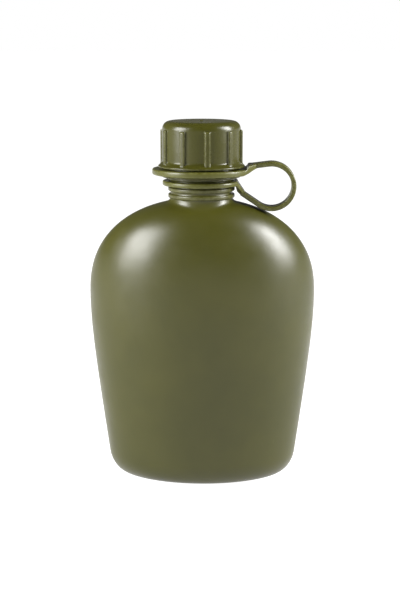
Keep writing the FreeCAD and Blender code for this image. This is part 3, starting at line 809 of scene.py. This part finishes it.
def make_cap_ring():
    """The ring in the cap's groove, with the tab that ramps up to the band."""
    bottom = CAP_RING_BOTTOM
    top = bottom + CAP_RING_THICKNESS
    top_line = [(0, top), (26.3, top), (27.8, top + 2.3), (CAP_TAB_END, top + 3.3)]
    bottom_line = [(0, bottom), (25.0, bottom), (28.0, bottom + 1.2), (31.0, bottom + 2.9),
                   (CAP_TAB_END, bottom + 4.05)]

    def outline_at(angle):
        return teardrop(angle, CAP_RING_RADIUS, math.radians(37), CAP_TAB_END)
    return make_strap_ring(
        "cap_ring", CAP_RING_HOLE, outline_at,
        lambda x, y: along_corners(x, top_line),
        lambda x, y: along_corners(x, bottom_line))


# ---------------------------------------------------------------------------------------------
# Materials
# ---------------------------------------------------------------------------------------------

# How fine each layer of the surface is, as the scale of its noise
CLOUD_SCALE = 28
WEAR_SCALE = 420
SCUFF_SCALE = 900
SCUFF_ZONE_SCALE = 22
SHEEN_SCALE = 75
WAVE_SCALE = 26
GRAIN_SCALE = 2600


def node(tree, kind, **values):
    """A new shader node. Values name its inputs, or its own settings if it has them."""
    made = tree.nodes.new(kind)
    for name, value in values.items():
        if hasattr(made, name):
            setattr(made, name, value)
        else:
            made.inputs[name.replace("_", " ")].default_value = value
    return made


def noise(tree, where, scale, detail, roughness=0.5):
    made = node(tree, "ShaderNodeTexNoise", Scale=scale, Detail=detail, Roughness=roughness)
    tree.links.new(where, made.inputs["Vector"])
    return made.outputs["Fac"]


def spread(tree, source, low, high, to_low, to_high):
    """The source with the range low to high stretched to another range."""
    made = node(tree, "ShaderNodeMapRange")
    made.inputs["From Min"].default_value = low
    made.inputs["From Max"].default_value = high
    made.inputs["To Min"].default_value = to_low
    made.inputs["To Max"].default_value = to_high
    tree.links.new(source, made.inputs["Value"])
    return made.outputs["Result"]


def combine(tree, operation, first, second):
    made = node(tree, "ShaderNodeMath", operation=operation)
    for number, value in enumerate((first, second)):
        if isinstance(value, (int, float)):
            made.inputs[number].default_value = value
        else:
            tree.links.new(value, made.inputs[number])
    return made.outputs["Value"]


def mix_colours(tree, share, first, second):
    made = node(tree, "ShaderNodeMix", data_type="RGBA")
    tree.links.new(share, made.inputs["Factor"])
    for number, value in ((6, first), (7, second)):
        if isinstance(value, tuple):
            made.inputs[number].default_value = value
        else:
            tree.links.new(value, made.inputs[number])
    return made.outputs[2]


def moulded(name, light, dark, worn, roughness, specular, grain_height, waviness):
    """Moulded plastic or rubber: a slightly clouded colour, a fine grain, a faint waviness of the
    surface, rubbed edges, and small scuffs."""
    material = bpy.data.materials.new(name)
    material.use_nodes = True
    tree = material.node_tree
    shader = tree.nodes["Principled BSDF"]
    shader.inputs["Specular IOR Level"].default_value = specular
    where = node(tree, "ShaderNodeTexCoord").outputs["Object"]

    clouds = spread(tree, noise(tree, where, CLOUD_SCALE, 4, 0.6), 0.32, 0.68, 0, 1)
    colour = mix_colours(tree, clouds, (*dark, 1), (*light, 1))

    edges = node(tree, "ShaderNodeAttribute", attribute_name="edge_wear").outputs["Fac"]
    patches = spread(tree, noise(tree, where, WEAR_SCALE, 5, 0.65), 0.42, 0.68, 0, 1)
    rubbed = combine(tree, "MULTIPLY", spread(tree, edges, 0.15, 0.9, 0, 1), patches)
    colour = mix_colours(tree, combine(tree, "MULTIPLY", rubbed, 0.55), colour, (*worn, 1))

    streaked = node(tree, "ShaderNodeMapping", Scale=(1.0, 1.0, 0.12), Rotation=(0.4, 0.9, 0.3))
    tree.links.new(where, streaked.inputs["Vector"])
    marks = noise(tree, streaked.outputs["Vector"], SCUFF_SCALE, 3)
    scuffs = spread(tree, marks, 0.69, 0.76, 0, 1)
    zones = spread(tree, noise(tree, where, SCUFF_ZONE_SCALE, 2), 0.5, 0.65, 0, 1)
    scuffs = combine(tree, "MULTIPLY", scuffs, zones)
    colour = mix_colours(tree, combine(tree, "MULTIPLY", scuffs, 0.25), colour, (*worn, 1))
    tree.links.new(colour, shader.inputs["Base Color"])

    sheen = noise(tree, where, SHEEN_SCALE, 5, 0.6)
    sheen = spread(tree, sheen, 0.3, 0.7, roughness - 0.04, roughness + 0.05)
    sheen = combine(tree, "SUBTRACT", sheen, combine(tree, "MULTIPLY", rubbed, 0.08))
    sheen = combine(tree, "ADD", sheen, combine(tree, "MULTIPLY", scuffs, 0.12))
    tree.links.new(sheen, shader.inputs["Roughness"])

    waves = node(tree, "ShaderNodeBump", Strength=1.0, Distance=waviness)
    tree.links.new(noise(tree, where, WAVE_SCALE, 2, 0.4), waves.inputs["Height"])
    grain = node(tree, "ShaderNodeBump", Strength=1.0, Distance=grain_height)
    tree.links.new(noise(tree, where, GRAIN_SCALE, 3, 0.6), grain.inputs["Height"])
    tree.links.new(waves.outputs["Normal"], grain.inputs["Normal"])
    tree.links.new(grain.outputs["Normal"], shader.inputs["Normal"])
    return material


bottle_plastic = moulded(
    "bottle_plastic",
    light=(0.036, 0.035, 0.0035), dark=(0.029, 0.029, 0.0025), worn=(0.11, 0.11, 0.045),
    roughness=0.34, specular=0.35, grain_height=0.000012, waviness=0.00045)
cap_plastic = moulded(
    "cap_plastic",
    light=(0.033, 0.032, 0.0025), dark=(0.026, 0.026, 0.0020), worn=(0.10, 0.10, 0.040),
    roughness=0.28, specular=0.3, grain_height=0.000010, waviness=0.00010)
strap_plastic = moulded(
    "strap_plastic",
    light=(0.052, 0.052, 0.0050), dark=(0.042, 0.042, 0.0035), worn=(0.13, 0.13, 0.050),
    roughness=0.33, specular=0.35, grain_height=0.000010, waviness=0.00010)
seal_rubber = moulded(
    "seal_rubber",
    light=(0.028, 0.027, 0.025), dark=(0.018, 0.018, 0.017), worn=(0.07, 0.07, 0.065),
    roughness=0.62, specular=0.35, grain_height=0.000020, waviness=0.00010)


# ---------------------------------------------------------------------------------------------
# Pieces on the frame
# ---------------------------------------------------------------------------------------------

bottle = make_bottle()
dress(bottle, bottle_plastic, "bottle_plastic")
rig.ride(bottle, "bottle")
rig.replaces(bottle, "bottle")

neck_thread = make_thread("neck_thread", NECK_THREAD_START, NECK_RADIUS - THREAD_SINK,
                          NECK_THREAD_RADIUS)
dress(neck_thread, bottle_plastic, "bottle_plastic")
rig.ride(neck_thread, "bottle")

cap = make_cap()
dress(cap, cap_plastic, "cap_plastic")
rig.ride(cap, "cap")
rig.replaces(cap, "cap")

cap_thread = make_thread("cap_thread", CAP_THREAD_START, CAP_BORE + THREAD_SINK,
                         CAP_THREAD_RADIUS)
dress(cap_thread, cap_plastic, "cap_plastic")
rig.ride(cap_thread, "cap")

seal = make_seal()
dress(seal, seal_rubber, "seal_rubber")
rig.ride(seal, "cap_seal")
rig.replaces(seal, "cap_seal")

# The band bends at four flex lines, each over a stretch between two distances along it. Its
# lengths meet where both follow the same body, so no seam opens, and the two rings bend a little
# with the ends of the band that they hold.
LOWER_FLEX = (-11.5, -3.0)
UNDER_FLEX = (-1.0, reach_at(-31))
OVER_FLEX = (reach_at(-29), BEND_LENGTH + 1.5)
UPPER_FLEX = (BEND_LENGTH + 3.0, BEND_LENGTH + 10.5)
LOWER_SEAM = -1.5
BEND_SEAM = reach_at(-30)
UPPER_SEAM = BEND_LENGTH + 2.0


def flex_line(start, end):
    """The two ends of a flex stretch, as points of the frame."""
    return [place(point.x, 0.0, point.y) for point in (strap_point(start)[0], strap_point(end)[0])]


neck_ring = make_neck_ring()
dress(neck_ring, strap_plastic, "strap_plastic")
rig.blend(neck_ring, "neck_loop", "strap_lower_arm", *flex_line(*LOWER_FLEX))
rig.replaces(neck_ring, "neck_loop")

cap_ring = make_cap_ring()
dress(cap_ring, strap_plastic, "strap_plastic")
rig.blend(cap_ring, "strap_upper_arm", "cap_loop", *flex_line(*UPPER_FLEX))
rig.replaces(cap_ring, "cap_loop")

band_lengths = [
    ("strap_lower_band", -12.5, LOWER_SEAM, LOWER_FLEX, "neck_loop", "strap_lower_arm"),
    ("strap_under_bend", LOWER_SEAM, BEND_SEAM, UNDER_FLEX, "strap_lower_arm", "strap_bend"),
    ("strap_over_bend", BEND_SEAM, UPPER_SEAM, OVER_FLEX, "strap_bend", "strap_upper_arm"),
    ("strap_upper_band", UPPER_SEAM, BEND_LENGTH + 9.5, UPPER_FLEX, "strap_upper_arm", "cap_loop"),
]
band_replaces = {
    "strap_lower_band": "strap_lower_arm",
    "strap_under_bend": "strap_bend",
    "strap_upper_band": "strap_upper_arm",
}
for name, start, end, flex, first, second in band_lengths:
    length = make_band(name, start, end)
    dress(length, strap_plastic, "strap_plastic")
    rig.blend(length, first, second, *flex_line(*flex))
    if name in band_replaces:
        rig.replaces(length, band_replaces[name])


# ---------------------------------------------------------------------------------------------
# Studio
# ---------------------------------------------------------------------------------------------

def make_floor():
    """A wide white table top, lit from inside so that it stays white round the object."""
    reach = 12.0
    corners = [(-reach, -reach, 0), (reach, -reach, 0), (reach, reach, 0), (-reach, reach, 0)]
    mesh = bpy.data.meshes.new("studio_floor")
    mesh.from_pydata(corners, [], [(0, 1, 2, 3)])
    material = bpy.data.materials.new("studio_white")
    material.use_nodes = True
    shader = material.node_tree.nodes["Principled BSDF"]
    shader.inputs["Base Color"].default_value = (0.25, 0.25, 0.25, 1)
    shader.inputs["Roughness"].default_value = 1.0
    shader.inputs["Specular IOR Level"].default_value = 0.0
    shader.inputs["Emission Color"].default_value = (1, 1, 1, 1)
    shader.inputs["Emission Strength"].default_value = 1.0
    mesh.materials.append(material)
    floor = bpy.data.objects.new("studio_floor", mesh)
    bpy.context.scene.collection.objects.link(floor)
    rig.stage(floor)


def soft_box(name, aside, up, distance, width, height, power):
    """A lamp that faces the bottle. It stands at an angle aside from the camera's side, positive
    to the right, and an angle above the bottle's shoulders."""
    target = Vector((0.0, NECK_Y * MM, SHOULDER_HEIGHT * MM))
    turn, lift = math.radians(aside), math.radians(up)
    level = math.cos(lift)
    towards = Vector((math.sin(turn) * level, -math.cos(turn) * level, math.sin(lift)))
    lamp = bpy.data.lights.new(name, "AREA")
    lamp.shape = "RECTANGLE"
    lamp.size, lamp.size_y = width, height
    lamp.energy = power
    holder = bpy.data.objects.new(name, lamp)
    holder.location = target + towards * distance
    holder.rotation_euler = (-towards).to_track_quat("-Z", "Y").to_euler()
    bpy.context.scene.collection.objects.link(holder)


def make_world():
    """Dim air above a white horizon, so that the top of the cap stays dark."""
    world = bpy.data.worlds.new("studio_air")
    bpy.context.scene.world = world
    world.use_nodes = True
    tree = world.node_tree
    height = node(tree, "ShaderNodeSeparateXYZ")
    tree.links.new(node(tree, "ShaderNodeTexCoord").outputs["Generated"], height.inputs["Vector"])
    strength = spread(tree, height.outputs["Z"], 0.02, 0.06, 1.0, 0.14)
    tree.links.new(strength, tree.nodes["Background"].inputs["Strength"])
    tree.nodes["Background"].inputs["Color"].default_value = (1, 1, 1, 1)


def make_camera():
    """The camera stands in front of the neck, a little above it, and looks down at the bottle.

    Angles are in radians, and the place in metres."""
    position = (0.0199, NECK_Y * MM - 0.862, 0.2764)
    down, aside = 0.1911, 0.0231
    lens = bpy.data.cameras.new("camera")
    lens.lens = 87.7
    lens.sensor_width = 36.0
    lens.shift_x, lens.shift_y = -0.0024, 0.004
    lens.clip_start, lens.clip_end = 0.01, 20.0
    camera = bpy.data.objects.new("camera", lens)
    camera.location = position
    camera.rotation_euler = (math.pi / 2 - down, 0.0, aside)
    bpy.context.scene.collection.objects.link(camera)
    bpy.context.scene.camera = camera


make_floor()
make_world()
make_camera()
soft_box("left_box", aside=-66, up=20, distance=1.2, width=0.70, height=0.75, power=42)
soft_box("right_box", aside=85, up=24, distance=1.1, width=0.40, height=0.70, power=36)
scene = bpy.context.scene
scene.view_settings.view_transform = "Standard"
scene.view_settings.look = "None"

low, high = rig.bounds()
with open("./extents.json", "w") as file:
    json.dump({"cad": [list(cad_low), list(cad_high)], "visual": [list(low), list(high)]}, file)
